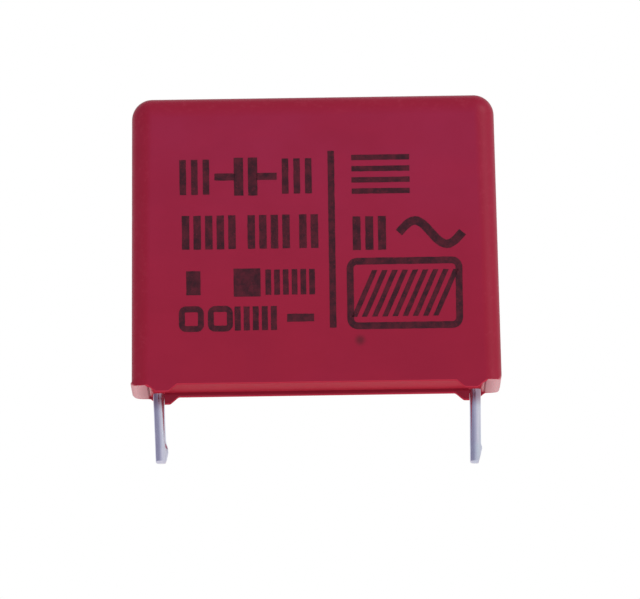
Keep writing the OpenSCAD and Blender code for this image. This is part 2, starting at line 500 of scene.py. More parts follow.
# Past the corners the inner rim takes the lip's gloss and painted highlight, and its edge a little
# scuffing and painted shade.
inner_lip_gloss_and_highlight = INNER_LIP_GLOSS_AND_HIGHLIGHT * past_corner
edge_x, edge_y = face_x + face_normal_x * INNER_EDGE, face_y + face_normal_y * INNER_EDGE
add_ring((edge_x, edge_y, face_z), INNER_WEAR_AND_SHADE, inner_lip_gloss_and_highlight)
add_ring((face_x, face_y, face_z + inner_rise), INNER_WEAR_AND_SHADE, inner_lip_gloss_and_highlight * 0.5)
add_ring((face_x, face_y, np.where(long_face, RIM_Z + INNER_EDGE, RIM_Z)), 0)
x, y, _ = cavity_ring(RIM_Z, -INNER_EDGE)
mouth = cavity_ring(RIM_Z + INNER_EDGE)
add_ring([np.where(long_face, high, low) for high, low in zip(mouth, (x, y, RIM_Z))], 0)
add_ring(mouth, 0)
CAVITY_LEVELS = (0.65, 0.8, 1.2, 3.0, 8.0, 14.0, CAVITY_TOP)
for ring in (*map(cavity_ring, CAVITY_LEVELS), *ceiling_rings()):
    add_ring(ring, 0)
print("rings of the case:", len(rings))

# %% [markdown]
# ## Skins from rings
#
# Two helpers turn rings into a mesh. One joins each ring to the next with four-sided
# faces. The other lays a grid over the flat that the first or last ring leaves open,
# with its lines on the same columns, so nothing has to be patched. Points that fall
# on each other are merged, and on the closed skin the faces can then be turned
# outwards.

# %% Skin helpers
def set_up(name, data):
    """A new object in the scene."""
    made = bpy.data.objects.new(name, data)
    bpy.context.scene.collection.objects.link(made)
    return made


def made_real(piece):
    """Replaces a piece's mesh with the plain mesh that its modifiers give."""
    depsgraph = bpy.context.evaluated_depsgraph_get()
    mesh = bpy.data.meshes.new_from_object(piece.evaluated_get(depsgraph))
    piece.modifiers.clear()
    piece.data = mesh
    return piece


def closing(work):
    """How many edges of a mesh are open, and its volume in cubic millimetres."""
    open_edges = sum(1 for edge in work.edges if len(edge.link_faces) != 2)
    return open_edges, work.calc_volume(signed=True) / MM**3


def flat_grid(shares, centre_x, centre_y, z, sink=0.0):
    """Points and faces of the flat inside a ring whose corner radius has shrunk to nothing."""
    lines_x = np.unique(np.round(np.concatenate([-shares[:, 0], shares[:, 0]]), 9))
    lines_y = np.unique(np.round(np.concatenate([-shares[:, 1], shares[:, 1]]), 9))
    points, faces = [], []
    for sy in lines_y:
        for sx in lines_x:
            hollow = (1 - sx**2) ** 2 * (1 - sy**2) ** 2
            points.append((sx * centre_x, sy * centre_y, z - sink * hollow))
    wide = len(lines_x)
    for row in range(len(lines_y) - 1):
        for column in range(wide - 1):
            first = row * wide + column
            faces.append((first, first + 1, first + wide + 1, first + wide))
    return points, faces


def skin(name, ring_list, grids, **marks):
    """A closed mesh object, in metres, from rings and the flats that close them.

    Each mark is a list of rings of numbers, which the mesh keeps under the mark's name.
    """
    wide = len(ring_list[0])
    points = [tuple(p) for ring in ring_list for p in ring]
    faces = []
    for row in range(len(ring_list) - 1):
        for column in range(wide):
            after = (column + 1) % wide
            here, below = row * wide, (row + 1) * wide
            faces.append((here + column, here + after, below + after, below + column))
    for grid_points, grid_faces in grids:
        start = len(points)
        points += grid_points
        faces += [tuple(start + corner for corner in face) for face in grid_faces]
    mesh = bpy.data.meshes.new(name)
    mesh.from_pydata([tuple(c * MM for c in point) for point in points], [], faces)
    for mark, rows in marks.items():
        numbers = np.zeros(len(points))
        numbers[: len(rows) * wide] = np.concatenate([np.asarray(row, float) for row in rows])
        mesh.attributes.new(mark, "FLOAT", "POINT").data.foreach_set("value", numbers)
    work = bmesh.new()
    work.from_mesh(mesh)
    bmesh.ops.remove_doubles(work, verts=work.verts, dist=2e-4 * MM)
    bmesh.ops.dissolve_degenerate(work, edges=work.edges, dist=1e-4 * MM)
    bmesh.ops.recalc_face_normals(work, faces=work.faces)
    work.to_mesh(mesh)
    open_edges, volume = closing(work)
    work.free()
    made = set_up(name, mesh)
    mesh.shade_smooth()
    print(f"{name}: {len(mesh.polygons)} faces, {open_edges} open edges, {volume:.1f} mm3")
    return made


# %% Make the case
roof = flat_grid(outside, TOP_X, TOP_Y, ROOF_Z, SINK)
ceiling = flat_grid(inside, CEILING_X, CEILING_Y, CAVITY_ROOF)
moulded_case = skin("moulded_case", rings, [roof, ceiling], edge=wear_and_shade_rows, lip=lip_gloss_and_highlight_rows)
moulded_case.data.materials.append(plastic.material)
moulded_case.data.materials.append(rim_plastic.material)
FACES_DOWN = -0.35
RIM_BELOW = 0.7
RIM_REACH = CENTRE_X + 0.15
# the long walls' rim faces take the copy with the painted sheen
for face in moulded_case.data.polygons:
    x, y, z = face.center / MM
    low = face.normal.z < FACES_DOWN and z < RIM_BELOW
    face.material_index = int(low and abs(x) < RIM_REACH and abs(y) > CAVITY_Y)
print("unpolished rim faces:", sum(f.material_index for f in moulded_case.data.polygons))
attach(moulded_case, "root")
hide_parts("case")

# %% [markdown]
# ## The tinned wires
#
# Each lead is copper wire with a dull tin coat. It leaves the resin straight, and on
# the way up it is pressed flat where it is welded to the winding. Its end was snipped:
# the blade left a slanting face on one side, with a lip of metal pushed out above it.
# A plain cylinder misses all of that, so the wire is swept ring by ring too, and each
# ring's section changes from a circle to a flat oval.

# %% Wire sizes
WIRE_RADIUS = 0.4
TAIL_HALF_THICK = 0.22
TAIL_HALF_WIDE = float(reach("left_lead")[1][1])
TAIL_TOP = float(reach("left_lead")[1][2])
TAPER_START = RESIN_Z - 0.55
WELD_START = float(winding_low[2])
WIRE_SIDES = 48
TIP_EDGE = 0.17
LEVEL_GAP = 0.05
SWELL = 0.006
FACE_END = 0.3
SNIPS = {
    # how far the lip stands out, its middle and half height; the face's height and depth; width
    LEFT: (0.13, 0.9, 0.46, 0.5, 0.12, 0.5),
    RIGHT: (0.07, 1.1, 0.22, 0.95, 0.2, 0.4),
}
LEAN = {LEFT: math.tan(math.radians(1.5)), RIGHT: -math.tan(math.radians(0.5))}


def flat_oval(angle):
    """A point of the pressed section, at the angle's share of the way round."""
    flat = TAIL_HALF_WIDE - TAIL_HALF_THICK
    bend = math.pi * TAIL_HALF_THICK / 2
    quarter_way = flat + bend
    turns = angle / (math.pi / 2)
    corner, part = int(turns) % 4, turns - int(turns)
    way = part * quarter_way if corner in (0, 2) else (1 - part) * quarter_way
    if way <= flat:
        x, y = TAIL_HALF_THICK, way
    else:
        bent = (way - flat) / TAIL_HALF_THICK
        x, y = TAIL_HALF_THICK * math.cos(bent), flat + TAIL_HALF_THICK * math.sin(bent)
    return (x if corner in (0, 3) else -x), (y if corner in (0, 1) else -y)


# %% Make a wire
def wire(name, side):
    """A lead with its pressed tail and its snipped tip."""
    tip = lead_tip[side]
    out, lip_at, lip_half, face, depth, width = SNIPS[side]
    levels = [tip + TIP_EDGE * (1 - math.cos(math.radians(15 * k))) for k in range(6)]
    levels += [*np.arange(tip + TIP_EDGE, tip + 1.7, LEVEL_GAP)]
    levels += [*np.linspace(tip + 1.75, TAPER_START, 9)]
    levels += [*np.linspace(TAPER_START, WELD_START, 12)[1:]]
    levels += [*np.linspace(WELD_START, TAIL_TOP - 0.08, 5)[1:], TAIL_TOP]
    rows, marks = [], []
    for row, z in enumerate(levels):
        pressed = min(max((z - TAPER_START) / (WELD_START - TAPER_START), 0), 1)
        above = z - tip
        draw_in = 0.9 if row == len(levels) - 1 else 1.0
        if above < TIP_EDGE:
            fall = 1 - math.sqrt(1 - (1 - above / TIP_EDGE) ** 2)
            draw_in = 1 - TIP_EDGE / WIRE_RADIUS * fall
        ring, mark = [], []
        for k in range(WIRE_SIDES):
            angle = 2 * math.pi * k / WIRE_SIDES
            round_x, round_y = WIRE_RADIUS * math.cos(angle), WIRE_RADIUS * math.sin(angle)
            oval_x, oval_y = flat_oval(angle)
            x = draw_in * (round_x + (oval_x - round_x) * pressed)
            y = draw_in * (round_y + (oval_y - round_y) * pressed)
            spot = Vector((math.cos(angle), math.sin(angle), z * 1.3 + 7 * side))
            swell = SWELL * noise.noise(spot)
            if pressed == 0:
                x, y = x * (1 + swell / WIRE_RADIUS), y * (1 + swell / WIRE_RADIUS)
            cut = 0.0
            facing = max(math.cos(angle), 0)
            off_lip = abs(above - lip_at) / lip_half
            lip = out * math.exp(-(off_lip**2.6))
            x += lip * math.exp(-((y / (WIRE_RADIUS * width)) ** 2)) * facing
            limit = WIRE_RADIUS - depth + (depth + out) * above / face
            if above < face + FACE_END and x > limit:
                x, cut = limit, 1.0
            if row == 0:
                cut = 0.8
            ring.append((lead_x[side] + x + LEAN[side] * max(-z, 0), y, z))
            mark.append(cut)
        rows.append(np.array(ring))
        marks.append(mark)
    caps = []
    for loop in (rows[0], rows[-1]):
        centre = loop.mean(axis=0)
        shrunk = [tuple(centre + (p - centre) * 0.5) for p in loop]
        points = [tuple(p) for p in loop] + shrunk + [tuple(centre)]
        faces = []
        for k in range(WIRE_SIDES):
            after = (k + 1) % WIRE_SIDES
            faces.append((k, after, WIRE_SIDES + after, WIRE_SIDES + k))
            faces.append((WIRE_SIDES + k, WIRE_SIDES + after, 2 * WIRE_SIDES))
        caps.append((points, faces))
    return skin(name, rows, caps, cut=marks)


left_wire = wire("left_wire", LEFT)
right_wire = wire("right_wire", RIGHT)

# %% [markdown]
# ## The tinned finish
#
# Tin dipped or plated on copper is silvery with a faint purple, and it has soft streaks
# along the wire where it was drawn. At the snipped face the copper shows through, and
# close to the resin the wire is darker and redder: a painted shade and reflection of the
# red case above it. The streaks are noise squeezed along the wire, the copper follows the
# mark that the wire's mesh carries, the painted reflection follows the height, and the
# rest is a metal with a middling gloss.

# %% Wire finish
tin = Finish("tinned_copper_wire", Metallic=1.0)
streaks = tin.noise(0.16, 3, 0.55, (1, 1, 0.05))
patches = tin.noise(0.8, 2, 0.5, (1, 1, 0.5))
bare = tin.mark("cut")
shear = tin.noise(0.06, 2, 0.5, (1, 1, 0.2))
upward = tin.part(tin.place, "Z")
# painted shade and reflection: darker and redder within a millimetre of the resin
painted_reflection_and_shade = tin.step(upward, -1.1 * MM, -0.1 * MM)
silver = tin.blend(tin.step(streaks, 0.3, 0.7), ink(200, 200, 219), ink(214, 213, 229))
silver = tin.blend(tin.step(patches, 0.45, 0.75) * 0.5, silver, ink(190, 203, 219))
silver = tin.blend(bare * (0.35 + 0.3 * shear), silver, ink(216, 180, 176))
silver = tin.blend(painted_reflection_and_shade * 0.7, silver, ink(142, 96, 118))
tin.give(
    Base_Color=silver,
    Roughness=0.1 + 0.06 * streaks + 0.05 * patches + 0.12 * bare,
    Normal=tin.bump(0.6 * streaks + 0.4 * patches, 0.003),
)
for piece, node in ((left_wire, "left_lead"), (right_wire, "right_lead")):
    piece.data.materials.append(tin.material)
    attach(piece, "root")
    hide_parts(node)
print("wire finish:", len(tin.tree.nodes), "nodes")

# %% [markdown]
# ## The potting resin
#
# Resin is poured round the winding and sets just inside the rim. While it was wet it
# crept a little up the long walls, up to the rim in the narrow gap between a lead and
# the end wall, and a collar's height up each lead. Its surface is a height over the
# plan, so it can be a mesh of triangles laid over the plan's points and lifted. The
# points are dense where it bends: along the wall and round the leads.

# %% Resin surface
SLACK = 0.004
CREEP = 0.11
CREEP_LENGTH = 0.2
END_CREEP = 0.4
END_CREEP_LENGTH = 0.5
COLLAR = 0.6
COLLAR_EDGE = WIRE_RADIUS + 0.04
LEAD_RINGS = (0.2, 0.36, 0.44, 0.47, 0.52, 0.58, 0.66, 0.76, 0.88, 1.04, 1.25)
RING_STEPS = 40
LATTICE = 0.45
CLEAR_OF_LEADS = 1.4


def wall_gap(x, y):
    """How far a point of the plan is from the cavity's wall."""
    beyond_x, beyond_y = abs(x) - CAVITY_X, abs(y) - CAVITY_Y
    corner = math.hypot(max(beyond_x, 0), max(beyond_y, 0))
    return CAVITY_RADIUS - SLACK - corner - min(max(beyond_x, beyond_y), 0)


def lead_gap(x, y):
    """How far a point of the plan is from the nearer lead's centre."""
    return min(math.hypot(x - lead_x[side], y) for side in (LEFT, RIGHT))


def resin_height(x, y):
    """Height of the resin's surface over a point of the plan."""
    creep = CREEP * math.exp(-max(wall_gap(x, y), 0) / CREEP_LENGTH)
    end_gap = max(CAVITY_X + CAVITY_RADIUS - abs(x), 0)
    end_creep = END_CREEP * math.exp(-((end_gap / END_CREEP_LENGTH) ** 2))
    inward = min(max(COLLAR_EDGE + COLLAR - lead_gap(x, y), 0), COLLAR)
    collar = COLLAR - math.sqrt(COLLAR**2 - inward**2)
    wave = 0.018 * noise.noise(Vector((x * 0.28, y * 0.28, 3.1))) * min(1, wall_gap(x, y))
    return RESIN_Z + wave - (creep**4 + end_creep**4 + collar**4) ** 0.25


def inner_points():
    """Points of the plan inside the bands: rings round the leads, and a lattice between them."""
    points = []
    for side in (LEFT, RIGHT):
        for radius in LEAD_RINGS:
            for k in range(RING_STEPS):
                turn = 2 * math.pi * (k + 0.5 * (radius > 0.5)) / RING_STEPS
                spot = Vector((lead_x[side] + radius * math.cos(turn), radius * math.sin(turn)))
                if wall_gap(*spot) > BANDS[-1] + 0.03:
                    points.append(spot)
    for x in np.arange(-CAVITY_X + 0.25, CAVITY_X - 0.2, LATTICE):
        for y in np.arange(-CAVITY_Y + 0.2, CAVITY_Y - 0.1, LATTICE):
            if lead_gap(x, y) > CLEAR_OF_LEADS:
                points.append(Vector((x, y)))
    return points


# %% Resin body
OVAL_STEPS = 96
BANDS = (0.4, 0.33, 0.26, 0.2, 0.15, 0.1, 0.06, 0.03, 0.0)


def band(gap):
    """The resin's surface along a line that keeps its distance from the wall."""
    x, y, _, _ = plan(inside, CAVITY_X, CAVITY_Y, CAVITY_RADIUS - SLACK - gap)
    return np.array([(px, py, resin_height(px, py)) for px, py in zip(x, y)])


body = [band(gap) for gap in BANDS]
inner_loop = [Vector(p[:2]) for p in body[0]]
closed = [(k, (k + 1) % len(inner_loop)) for k in range(len(inner_loop))]
flat, _, triangles, *_ = delaunay_2d_cdt(inner_loop + inner_points(), closed, [], 1, 1e-5)
surface = [(p.x, p.y, resin_height(p.x, p.y)) for p in flat]
levels = (0.9, 1.2, 6.0, 12.0, CAVITY_TOP)
walls = [*(cavity_ring(level, SLACK) for level in levels), *ceiling_rings(SLACK)]
body += [np.stack(ring, axis=1) for ring in walls]
lid = flat_grid(inside, CEILING_X - SLACK, CEILING_Y - SLACK, CAVITY_ROOF - SLACK)
potting_resin = skin("potting_resin", body, [(surface, [tuple(t) for t in triangles]), lid])

# %% [markdown]
# ## Room for the winding and the wires in the resin
#
# The resin flowed round what it holds, so it has their shapes as hollows. A Boolean
# modifier takes them away, and its result replaces the mesh, because a live modifier
# would be worked out again at each export.

# %% Hollow the resin
def cut_away(piece, cutter):
    """Takes the cutter's shape away from the piece for good."""
    modifier = piece.modifiers.new("hollow", "BOOLEAN")
    modifier.operation, modifier.solver, modifier.object = "DIFFERENCE", "EXACT", cutter
    made_real(piece)


def oval_bar(name, half_length):
    """A bar along X with the winding's section."""
    half_thick = float(winding_high[1])
    middle = float(winding_high[2] + winding_low[2]) / 2
    half_flat = float(winding_high[2] - winding_low[2]) / 2 - half_thick
    outline = []
    for k in range(OVAL_STEPS):
        turn = 2 * math.pi * (k + 0.5) / OVAL_STEPS
        lift = half_flat if math.sin(turn) > 0 else -half_flat
        outline.append((half_thick * math.cos(turn), middle + lift + half_thick * math.sin(turn)))
    rows = [np.array([(x, y, z) for y, z in outline]) for x in (-half_length, half_length)]
    caps = [([tuple(p) for p in row], [tuple(range(OVAL_STEPS))]) for row in rows]
    return skin(name, rows, caps)


hollow = oval_bar("hollow", contact_x + 0.01)
for cutter in (hollow, left_wire, right_wire):
    cut_away(potting_resin, cutter)
bpy.data.objects.remove(hollow)
print("resin faces:", len(potting_resin.data.polygons))

# %% [markdown]
# ## The resin's finish
#
# The resin is dyed like the case but filled with fine powder, so it is lighter and
# dull, with small clouds and a few specks.

# %% Resin finish
resin = Finish("filled_red_resin", IOR=1.5, Specular_IOR_Level=0.12)
clouding = resin.noise(1.1, 4, 0.6)
specks = resin.step(resin.noise(0.18, 1, 0.5), 0.66, 0.74)
along = resin.part(resin.place, "X")
out_along = resin.node("ShaderNodeMath", {"operation": "ABSOLUTE"}, {0: along})
drawn_thin = resin.step(out_along, 11.3 * MM, 11.75 * MM)
clay = resin.blend(clouding, ink(184, 40, 60), ink(204, 50, 76))
clay = resin.blend(specks * 0.35, clay, ink(216, 96, 112))
resin.give(
    Base_Color=clay,
    Roughness=(0.74 + 0.16 * clouding) * (1 - 0.6 * drawn_thin),
    Normal=resin.bump(0.7 * clouding + 0.3 * specks, 0.012),
)
potting_resin.data.materials.clear()
potting_resin.data.materials.append(resin.material)
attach(potting_resin, "root")
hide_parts("resin_seal")
print("resin finish:", len(resin.tree.nodes), "nodes")

# %% [markdown]
# ## Inside: the winding and its sprayed ends
#
# Nobody sees these without cutting the part open, and their shapes are right as solids,
# so they keep them and get a finish of their own. The film has the fine lines of its
# turns, and the sprayed metal is a crust of frozen droplets.

# %% Inner finishes
film = Finish("metallised_film", Metallic=0.85, Coat_Weight=0.3)
turns_of_film = film.noise(0.22, 3, 0.6, (0.02, 1, 1))
sheen = film.blend(turns_of_film, ink(176, 178, 186), ink(214, 214, 222))
film.give(
    Base_Color=sheen,
    Roughness=0.18 + 0.2 * turns_of_film,
    Normal=film.bump(turns_of_film, 0.01),
)

spray = Finish("sprayed_zinc", Metallic=0.9)
droplets = spray.noise(0.14, 4, 0.65)
crust = spray.blend(droplets, ink(128, 128, 132), ink(186, 186, 188))
spray.give(Base_Color=crust, Roughness=0.5 + 0.3 * droplets, Normal=spray.bump(droplets, 0.05))

INNER = {"film_winding": film, "left_end_contact": spray, "right_end_contact": spray}
for node, finish in INNER.items():
    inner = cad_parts[node]
    inner.data.materials.clear()
    inner.data.materials.append(finish.material)
print("inner finishes given to the winding and its two ends")

# %% [markdown]
# ## The print on the front wall
#
# Such a case is stamped with dark ink. This part is generic, so it has no words: a rule
# divides the face, and on both sides of it stand plain signs, a capacitor symbol, a
# wave, bars and a hatched field. The flat artwork is made first. A row of equal bars
# is one bar and a count, which is work for Geometry Nodes.

# %% A tree for rows of bars
def new_tree(name, sockets):
    """A geometry tree's sheet, its inputs' identifiers and its inputs as terms."""
    tree = bpy.data.node_groups.new(name, "GeometryNodeTree")
    identifiers = {}
    for words, kind in sockets.items():
        socket = tree.interface.new_socket(words, in_out="INPUT", socket_type="NodeSocket" + kind)
        identifiers[words] = socket.identifier
    tree.interface.new_socket("Geometry", in_out="OUTPUT", socket_type="NodeSocketGeometry")
    sheet = Sheet(tree)
    given = tree.nodes.new("NodeGroupInput")
    return sheet, identifiers, {words: Term(sheet, given.outputs[words]) for words in sockets}


def hand_out(sheet, geometry, material):
    """Gives the geometry its material and then to the tree's output."""
    named = {"Geometry": geometry, "Material": material}
    inked = sheet.node("GeometryNodeSetMaterial", None, named)
    end = sheet.tree.nodes.new("NodeGroupOutput")
    sheet.tree.links.new(inked.socket, end.inputs[0])
    print(sheet.tree.name, "has", len(sheet.tree.nodes), "nodes")


bar_inputs = dict.fromkeys(("Pitch", "Width", "Height", "Lean", "Start X", "Start Z"), "Float")
bar_inputs = {"Count": "Int", **bar_inputs, "Ink": "Material"}
sheet, bar_sockets, value = new_tree("row_of_bars", bar_inputs)
bars = sheet.tree
start = sheet.vector(x=value["Start X"], z=value["Start Z"])
pitch = sheet.vector(x=value["Pitch"])
line = sheet.node(
    "GeometryNodeMeshLine", {"mode": "OFFSET"},
    {"Count": value["Count"], "Start Location": start, "Offset": pitch},
)
bar = sheet.node(
    "GeometryNodeMeshGrid", None,
    {"Size X": value["Width"], "Size Y": value["Height"], "Vertices X": 3, "Vertices Y": 7},
)
placed = sheet.node(
    "GeometryNodeInstanceOnPoints", None,
    {"Points": line, "Instance": bar, "Rotation": (math.pi / 2, 0, 0)},
)
real = sheet.node("GeometryNodeRealizeInstances", None, {0: placed})
spot = sheet.node("GeometryNodeInputPosition")
spot_z = sheet.part(spot, "Z")
slide = sheet.vector(x=(spot_z - value["Start Z"]) * value["Lean"])
leaning = sheet.node("GeometryNodeSetPosition", None, {"Geometry": real, "Offset": slide})
hand_out(sheet, leaning, value["Ink"])

# %% [markdown]
# ## Ink
#
# Stamped ink is thin and never quite even. It is near black with the red of the case
# showing through where it is thin, so its colour runs between the two.

# %% Ink finish
stamp = Finish("stamped_ink", Specular_IOR_Level=0.2)
thick = stamp.noise(0.55, 4, 0.62)
dots = stamp.noise(0.12, 2, 0.5)
dark = stamp.blend(stamp.step(thick, 0.3, 0.72), ink(50, 15, 28), ink(84, 22, 38))
dark = stamp.blend(stamp.step(dots, 0.6, 0.75) * 0.5, dark, ink(118, 28, 48))
stamp.give(Base_Color=dark, Roughness=0.46 + 0.2 * thick, Normal=stamp.bump(dots, 0.004))
print("ink finish:", len(stamp.tree.nodes), "nodes")

# %% Rows of bars
ROWS = (
    # count, pitch, width, height, lean, first x, middle z
    (3, 0.82, 0.46, 2.5, 0.0, -9.55, 15.7),
    (3, 0.82, 0.46, 2.5, 0.0, -2.3, 15.7),
    (5, 0.82, 0.52, 2.4, 0.0, -9.4, 11.75),
    (4, 0.82, 0.52, 2.4, 0.0, -4.75, 11.75),
    (2, 0.82, 0.52, 2.4, 0.0, -1.1, 11.75),
    (6, 0.62, 0.4, 1.8, 0.0, -3.6, 8.15),
    (5, 0.64, 0.42, 1.7, 0.0, -5.8, 5.6),
    (3, 0.9, 0.56, 2.4, 0.0, 2.7, 11.55),
    (9, 0.72, 0.38, 3.3, 0.45, 3.2, 7.25),
)


def bar_row(count, pitch_mm, width, tall, lean, first_x, middle_z):
    """One row of bars, flat in the XZ plane."""
    row = set_up("bar_row", bpy.data.meshes.new("bar_row"))
    modifier = row.modifiers.new("bars", "NODES")
    modifier.node_group = bars
    sizes = {
        "Count": count, "Pitch": pitch_mm * MM, "Width": width * MM, "Height": tall * MM,
        "Lean": lean, "Start X": first_x * MM, "Start Z": middle_z * MM, "Ink": stamp.material,
    }
    for name, size in sizes.items():
        modifier[bar_sockets[name]] = size
    return made_real(row)


rows_of_bars = [bar_row(*row) for row in ROWS]
print("bars:", sum(row[0] for row in ROWS))

# %% [markdown]
# ## Strokes
#
# The rule, the symbols and the wave are strokes: a centre line with a width. A curve
# with a bevel would be round, and ink is flat, so each stroke is a strip of faces
# beside its line.

# %% Draw the strokes
def resample(points, gap=0.35):
    """The same line with points no further apart than the gap."""
    fine = [points[0]]
    for (x0, z0), (x1, z1) in zip(points, points[1:]):
        steps = max(1, math.ceil(math.hypot(x1 - x0, z1 - z0) / gap))
        for k in range(1, steps + 1):
            fine.append((x0 + (x1 - x0) * k / steps, z0 + (z1 - z0) * k / steps))
    return fine


def stroke(work, points, width, loop=False):
    """A flat strip of the given width along a line in the XZ plane."""
    line = resample([*points, points[0]] if loop else list(points))
    if loop:
        line = line[:-1]
    count = len(line)
    pairs = []
    for k, (x, z) in enumerate(line):
        before = line[(k - 1) % count] if loop or k else line[0]
        after = line[(k + 1) % count] if loop or k < count - 1 else line[-1]
        along = Vector((after[0] - before[0], after[1] - before[1])).normalized()
        across = Vector((-along.y, along.x)) * width / 2
        row = [(x + s * across.x, z + s * across.y) for s in (-1, 0, 1)]
        pairs.append([work.verts.new((px * MM, 0, pz * MM)) for px, pz in row])
    last = count if loop else count - 1
    for k in range(last):
        here, there = pairs[k], pairs[(k + 1) % count]
        for s in (0, 1):
            work.faces.new((here[s], there[s], there[s + 1], here[s + 1]))


def round_frame(x0, z0, x1, z1, radius):
    """The corners of a rounded rectangle as one line."""
    left, right, low, high = x0 + radius, x1 - radius, z0 + radius, z1 - radius
    points = []
    for corner, (cx, cz) in enumerate(((right, high), (left, high), (left, low), (right, low))):
        for k in range(7):
            turn = math.radians(90 * corner + 15 * k)
            points.append((cx + radius * math.cos(turn), cz + radius * math.sin(turn)))
    return points


LINES = (
    # width, and the two ends
    (0.46, (0.95, 4.85), (0.95, 17.45)),
    (0.5, (-7.3, 15.7), (-5.85, 15.7)),
    (0.66, (-5.6, 14.35), (-5.6, 17.05)),
    (0.66, (-4.6, 14.35), (-4.6, 17.05)),
    (0.5, (-4.35, 15.7), (-2.9, 15.7)),
    *((0.38, (2.4, level), (6.5, level)) for level in (14.55, 15.35, 16.15, 16.95)),
    (1.0, (-8.9, 7.3), (-8.9, 9.0)),
    (1.9, (-5.1, 7.15), (-5.1, 9.15)),
    (0.55, (-2.3, 5.6), (-0.4, 5.6)),
)
FRAMES = (
    # width, then left, low, right, high and the corner's radius
    (0.48, (2.2, 4.95, 9.9, 9.55, 0.5)),
    *((0.42, (left, 4.9, left + 1.35, 6.3, 0.3)) for left in (-9.75, -7.7)),
)
WAVE_STEPS = 24
work = bmesh.new()
for width, *ends in LINES:
    stroke(work, ends, width)
for width, sizes in FRAMES:
    stroke(work, round_frame(*sizes), width, loop=True)
wave = [
    (5.7 + 4.5 * k / WAVE_STEPS, 11.55 + 0.85 * math.sin(2 * math.pi * k / WAVE_STEPS))
    for k in range(WAVE_STEPS + 1)
]
stroke(work, wave, 0.6)
strokes = bpy.data.meshes.new("strokes")
work.to_mesh(strokes)
work.free()
print("stroke faces:", len(strokes.polygons))

# %% [markdown]
# ## Laying the ink on the wall
#
# The wall leans and is a little sunk, so the flat artwork is laid on it by casting a
# ray from each point. A second tree does that: it roughens the outline, puts the
# points on the wall, gives the ink its thickness and closes its back.

# %% A tree that prints on a wall
press_inputs = {
    "Artwork": "Geometry", "Wall": "Object", "Depth": "Float", "Thickness": "Float",
    "Roughness": "Float", "Ink": "Material",
}
sheet, press_sockets, value = new_tree("print_on_wall", press_inputs)
press = sheet.tree


def vector_sum(operation, inputs):
    """A sum of vectors in the tree that prints."""
    return sheet.node("ShaderNodeVectorMath", {"operation": operation}, inputs)


def set_position(inputs):
    """Moves the points of a mesh in the tree that prints."""
    return sheet.node("GeometryNodeSetPosition", None, inputs)


spot = sheet.node("GeometryNodeInputPosition")
wobble = sheet.node(
    "ShaderNodeTexNoise",
    {"noise_dimensions": "3D"},
    {"Vector": spot, "Scale": 1 / (0.35 * MM), "Detail": 2.0},
    "Color",
)
centred = vector_sum("SUBTRACT", {0: wobble, 1: (0.5, 0.5, 0.5)})
shifted = vector_sum("SCALE", {0: centred, "Scale": value["Roughness"]})
rough = set_position({"Geometry": value["Artwork"], "Offset": shifted})
target = sheet.node(
    "GeometryNodeObjectInfo",
    {"transform_space": "RELATIVE"},
    {"Object": value["Wall"]},
    "Geometry",
)
origin = vector_sum("ADD", {0: spot, 1: (0, -0.02, 0)})
cast = press.nodes.new("GeometryNodeRaycast")
press.links.new(target.socket, cast.inputs["Target Geometry"])
press.links.new(origin.socket, cast.inputs["Source Position"])
cast.inputs["Ray Direction"].default_value = (0, 1, 0)
cast.inputs["Ray Length"].default_value = 0.05
found = Term(sheet, cast.outputs["Hit Position"])
sunk = sheet.vector(y=value["Depth"])
laid = set_position({"Geometry": rough, "Position": vector_sum("ADD", {0: found, 1: sunk})})
out = sheet.vector(y=-1.0)
front = sheet.node(
    "GeometryNodeExtrudeMesh", {"mode": "FACES"},
    {"Mesh": laid, "Offset": out, "Offset Scale": value["Thickness"], "Individual": False},
)
back = sheet.node("GeometryNodeFlipFaces", None, {0: laid})
both = press.nodes.new("GeometryNodeJoinGeometry")
press.links.new(back.socket, both.inputs[0])
press.links.new(front.socket, both.inputs[0])
joined = {"Geometry": Term(sheet, both.outputs[0]), "Distance": 1e-7}
closed_ink = sheet.node("GeometryNodeMergeByDistance", None, joined)
real = sheet.node("GeometryNodeRealizeInstances", None, {0: closed_ink})
hand_out(sheet, real, value["Ink"])

# %% Print
PRINT_SHIFT = (0.28 * MM, 0, -0.53 * MM)
work = bmesh.new()
work.from_mesh(strokes)
for row in rows_of_bars:
    work.from_mesh(row.data)
    bpy.data.objects.remove(row)
for face in work.faces:
    face.normal_update()
    if face.normal.y > 0:
        face.normal_flip()
bmesh.ops.translate(work, verts=work.verts, vec=PRINT_SHIFT)
artwork = bpy.data.meshes.new("front_print")
work.to_mesh(artwork)
work.free()
front_print = set_up("front_print", artwork)
modifier = front_print.modifiers.new("press", "NODES")
modifier.node_group = press
settings = {
    "Wall": moulded_case, "Depth": 0.004 * MM, "Thickness": 0.016 * MM,
    "Roughness": 0.07 * MM, "Ink": stamp.material,
}
for name, size in settings.items():
    modifier[press_sockets[name]] = size
made_real(front_print)
work = bmesh.new()
work.from_mesh(front_print.data)
print("print: open edges and volume", closing(work))
work.free()
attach(front_print, "root")

# %% [markdown]
# ## Stage and light
#
# The floor is a pale sheet just under the wires. Its underside is see-through, because
# the camera looks up from slightly below it. The surroundings are white where a camera
# or a reflection looks at them, and dimmer in front, as a room behind a camera is. Two
# large soft lamps and an even sky give the shape its light.

# %% Floor
def gaze(sheet):
    """Whether a ray comes from the camera, a mirror or glass, and whether from the camera."""
    path = sheet.tree.nodes.new("ShaderNodeLightPath")
    rays = ("Is Camera Ray", "Is Glossy Ray", "Is Transmission Ray")
    seen = [Term(sheet, path.outputs[name]) for name in rays]
    looked_at = sheet.node("ShaderNodeMath", {"operation": "MINIMUM"}, {0: sum(seen, 0.0), 1: 1.0})
    return looked_at, seen[0]


